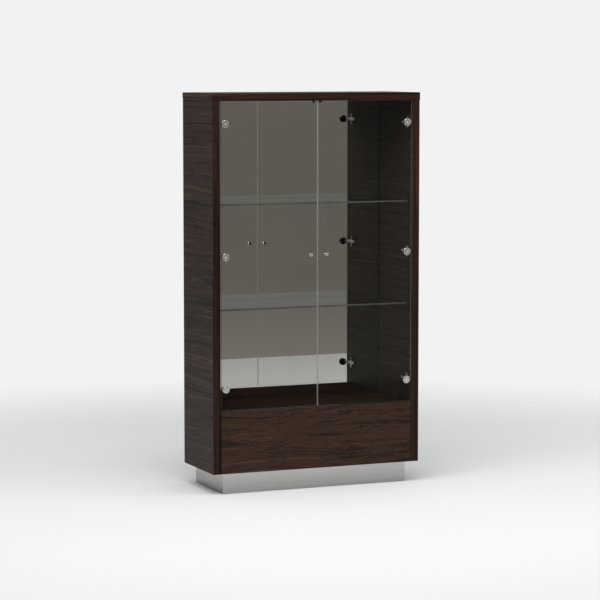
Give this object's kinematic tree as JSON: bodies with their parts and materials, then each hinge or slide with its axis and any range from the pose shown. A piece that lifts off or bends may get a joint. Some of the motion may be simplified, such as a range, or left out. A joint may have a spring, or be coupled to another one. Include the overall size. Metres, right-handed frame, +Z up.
{
  "type": "china cabinet",
  "caption": "Tall free-standing display cabinet with hinged frameless glass doors, glass shelves, a mirror back and a wide drawer on a recessed plinth.",
  "frame": {"origin": "on the floor, under the middle of the whole object's box, knobs included", "axes": "+X to the viewer's right, +Y towards the back, +Z up; the doors and the drawer open towards -Y"},
  "size_m": [1.092, 0.43, 1.93],
  "materials": {
    "veneer_panel": "high-gloss wenge veneer",
    "veneer_front": "high-gloss reddish wenge veneer",
    "mirror": "silvered",
    "plinth_steel": "brushed",
    "softwood": "planed",
    "drawer_wood": "satin lacquer",
    "zinc": "bright zinc plated",
    "chrome": "polished",
    "door_glass": "clear, polished edges",
    "shelf_glass": "clear, polished edges",
    "dark_plastic": "moulded",
    "gasket": "soft",
    "grey_plastic": "moulded"
  },
  "bodies": {
    "carcass": {"side_panel_left": "veneer_panel", "side_panel_right": "veneer_panel", "top_panel": "veneer_panel", "display_floor": "veneer_panel", "bottom_panel": "veneer_panel", "back_panel": "veneer_panel", "back_mirror": "mirror", "plinth_front": "plinth_steel", "plinth_back": "plinth_steel", "plinth_left": "plinth_steel", "plinth_right": "plinth_steel", "plinth_corner_blocks": "softwood", "carcass_dowels": "softwood", "cam_bolts": "zinc", "cam_discs": "zinc", "back_panel_screws": "zinc", "lower_shelf": "shelf_glass", "upper_shelf": "shelf_glass", "lower_shelf_pins": "chrome", "upper_shelf_pins": "chrome", "door_stops": "dark_plastic", "hinge_plates_left": "chrome", "hinge_plates_right": "chrome", "hinge_arms_left": "chrome", "hinge_arms_right": "chrome", "hinge_plate_screws": "zinc", "hinge_arm_screws": "zinc", "runner_outer_left": "zinc", "runner_outer_right": "zinc", "runner_screws_carcass": "zinc", "latch_housing": "dark_plastic"},
    "door_left": {"door_glass_left": "door_glass", "hinge_caps_left": "chrome", "hinge_cups_left": "dark_plastic", "hinge_gaskets_left": "gasket", "hinge_pins_left": "zinc", "door_knob_left": "chrome", "knob_screw_left": "chrome"},
    "door_right": {"door_glass_right": "door_glass", "hinge_caps_right": "chrome", "hinge_cups_right": "dark_plastic", "hinge_gaskets_right": "gasket", "hinge_pins_right": "zinc", "door_knob_right": "chrome", "knob_screw_right": "chrome"},
    "drawer": {"drawer_front": "veneer_front", "drawer_inner_front": "drawer_wood", "drawer_side_left": "drawer_wood", "drawer_side_right": "drawer_wood", "drawer_back": "drawer_wood", "drawer_bottom": "drawer_wood", "drawer_front_screws": "zinc", "runner_inner_left": "zinc", "runner_inner_right": "zinc", "runner_screws_drawer": "zinc"},
    "runner_middles": {"runner_middle_left": "zinc", "runner_middle_right": "zinc", "runner_ball_cages": "chrome"},
    "latch_plunger": {"latch_plunger": "grey_plastic"}
  },
  "joints": [
    {"name": "door_left_hinge", "type": "hinge", "parent": "carcass", "child": "door_left", "pos_m": [-0.48816, -0.1785, 1.1485], "axis": [0, 0, -1], "range_deg": [0, 95]},
    {"name": "door_right_hinge", "type": "hinge", "parent": "carcass", "child": "door_right", "pos_m": [0.48816, -0.1785, 1.1485], "axis": [0, 0, 1], "range_deg": [0, 95]},
    {"name": "drawer_slide", "type": "slide", "parent": "carcass", "child": "drawer", "axis": [0, -1, 0], "range_m": [0, 0.33]},
    {"name": "runner_middle_slide", "type": "slide", "parent": "carcass", "child": "runner_middles", "axis": [0, -1, 0], "range_m": [0, 0.165]},
    {"name": "latch_push", "type": "slide", "parent": "carcass", "child": "latch_plunger", "axis": [0, 1, 0], "range_m": [0, 0.004], "stiffness_N_per_m": 500, "springref_m": -0.004}
  ],
  "couplings": [
    {"joint": "runner_middle_slide", "follows": "drawer_slide", "ratio": 0.5}
  ]
}
